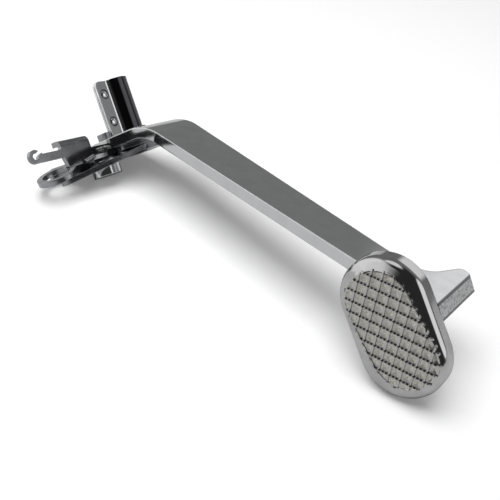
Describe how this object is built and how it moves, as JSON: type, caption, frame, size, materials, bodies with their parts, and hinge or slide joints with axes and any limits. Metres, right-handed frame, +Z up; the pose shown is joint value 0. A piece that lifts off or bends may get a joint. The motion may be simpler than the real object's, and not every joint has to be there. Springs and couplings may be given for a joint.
{
  "type": "motorcycle rear brake pedal",
  "caption": "Chrome-plated rear brake pedal: a bent flat arm with a ribbed oval foot pad, a pivot sleeve, a ring-ended rod lever and a spring hook, for the right-hand side.",
  "frame": {"origin": "on the pivot axis, level with the inboard face of the arm", "axes": "+X forward from the pivot to the foot pad, +Y along the pivot axis towards the motorcycle, +Z up as fitted"},
  "size_m": [0.2185, 0.1912, 0.0848],
  "materials": {
    "chrome_bar": "bright chrome plate on ground bar",
    "chrome_pad": "bright chrome plate on a drawn shell, dull between the ribs",
    "chrome_sheet": "chrome plate on folded sheet",
    "chrome_lever": "thin chrome plate on blanked plate",
    "chrome_weld": "chrome plate over weld metal"
  },
  "bodies": {
    "root": {"arm": "chrome_bar", "foot_pad": "chrome_pad", "pivot_sleeve": "chrome_sheet", "spring_bracket": "chrome_sheet", "stop_block": "chrome_sheet", "rod_lever": "chrome_lever", "lever_doubler": "chrome_lever", "lever_boss": "chrome_bar", "sleeve_weld": "chrome_weld", "bracket_weld": "chrome_weld"}
  },
  "joints": []
}
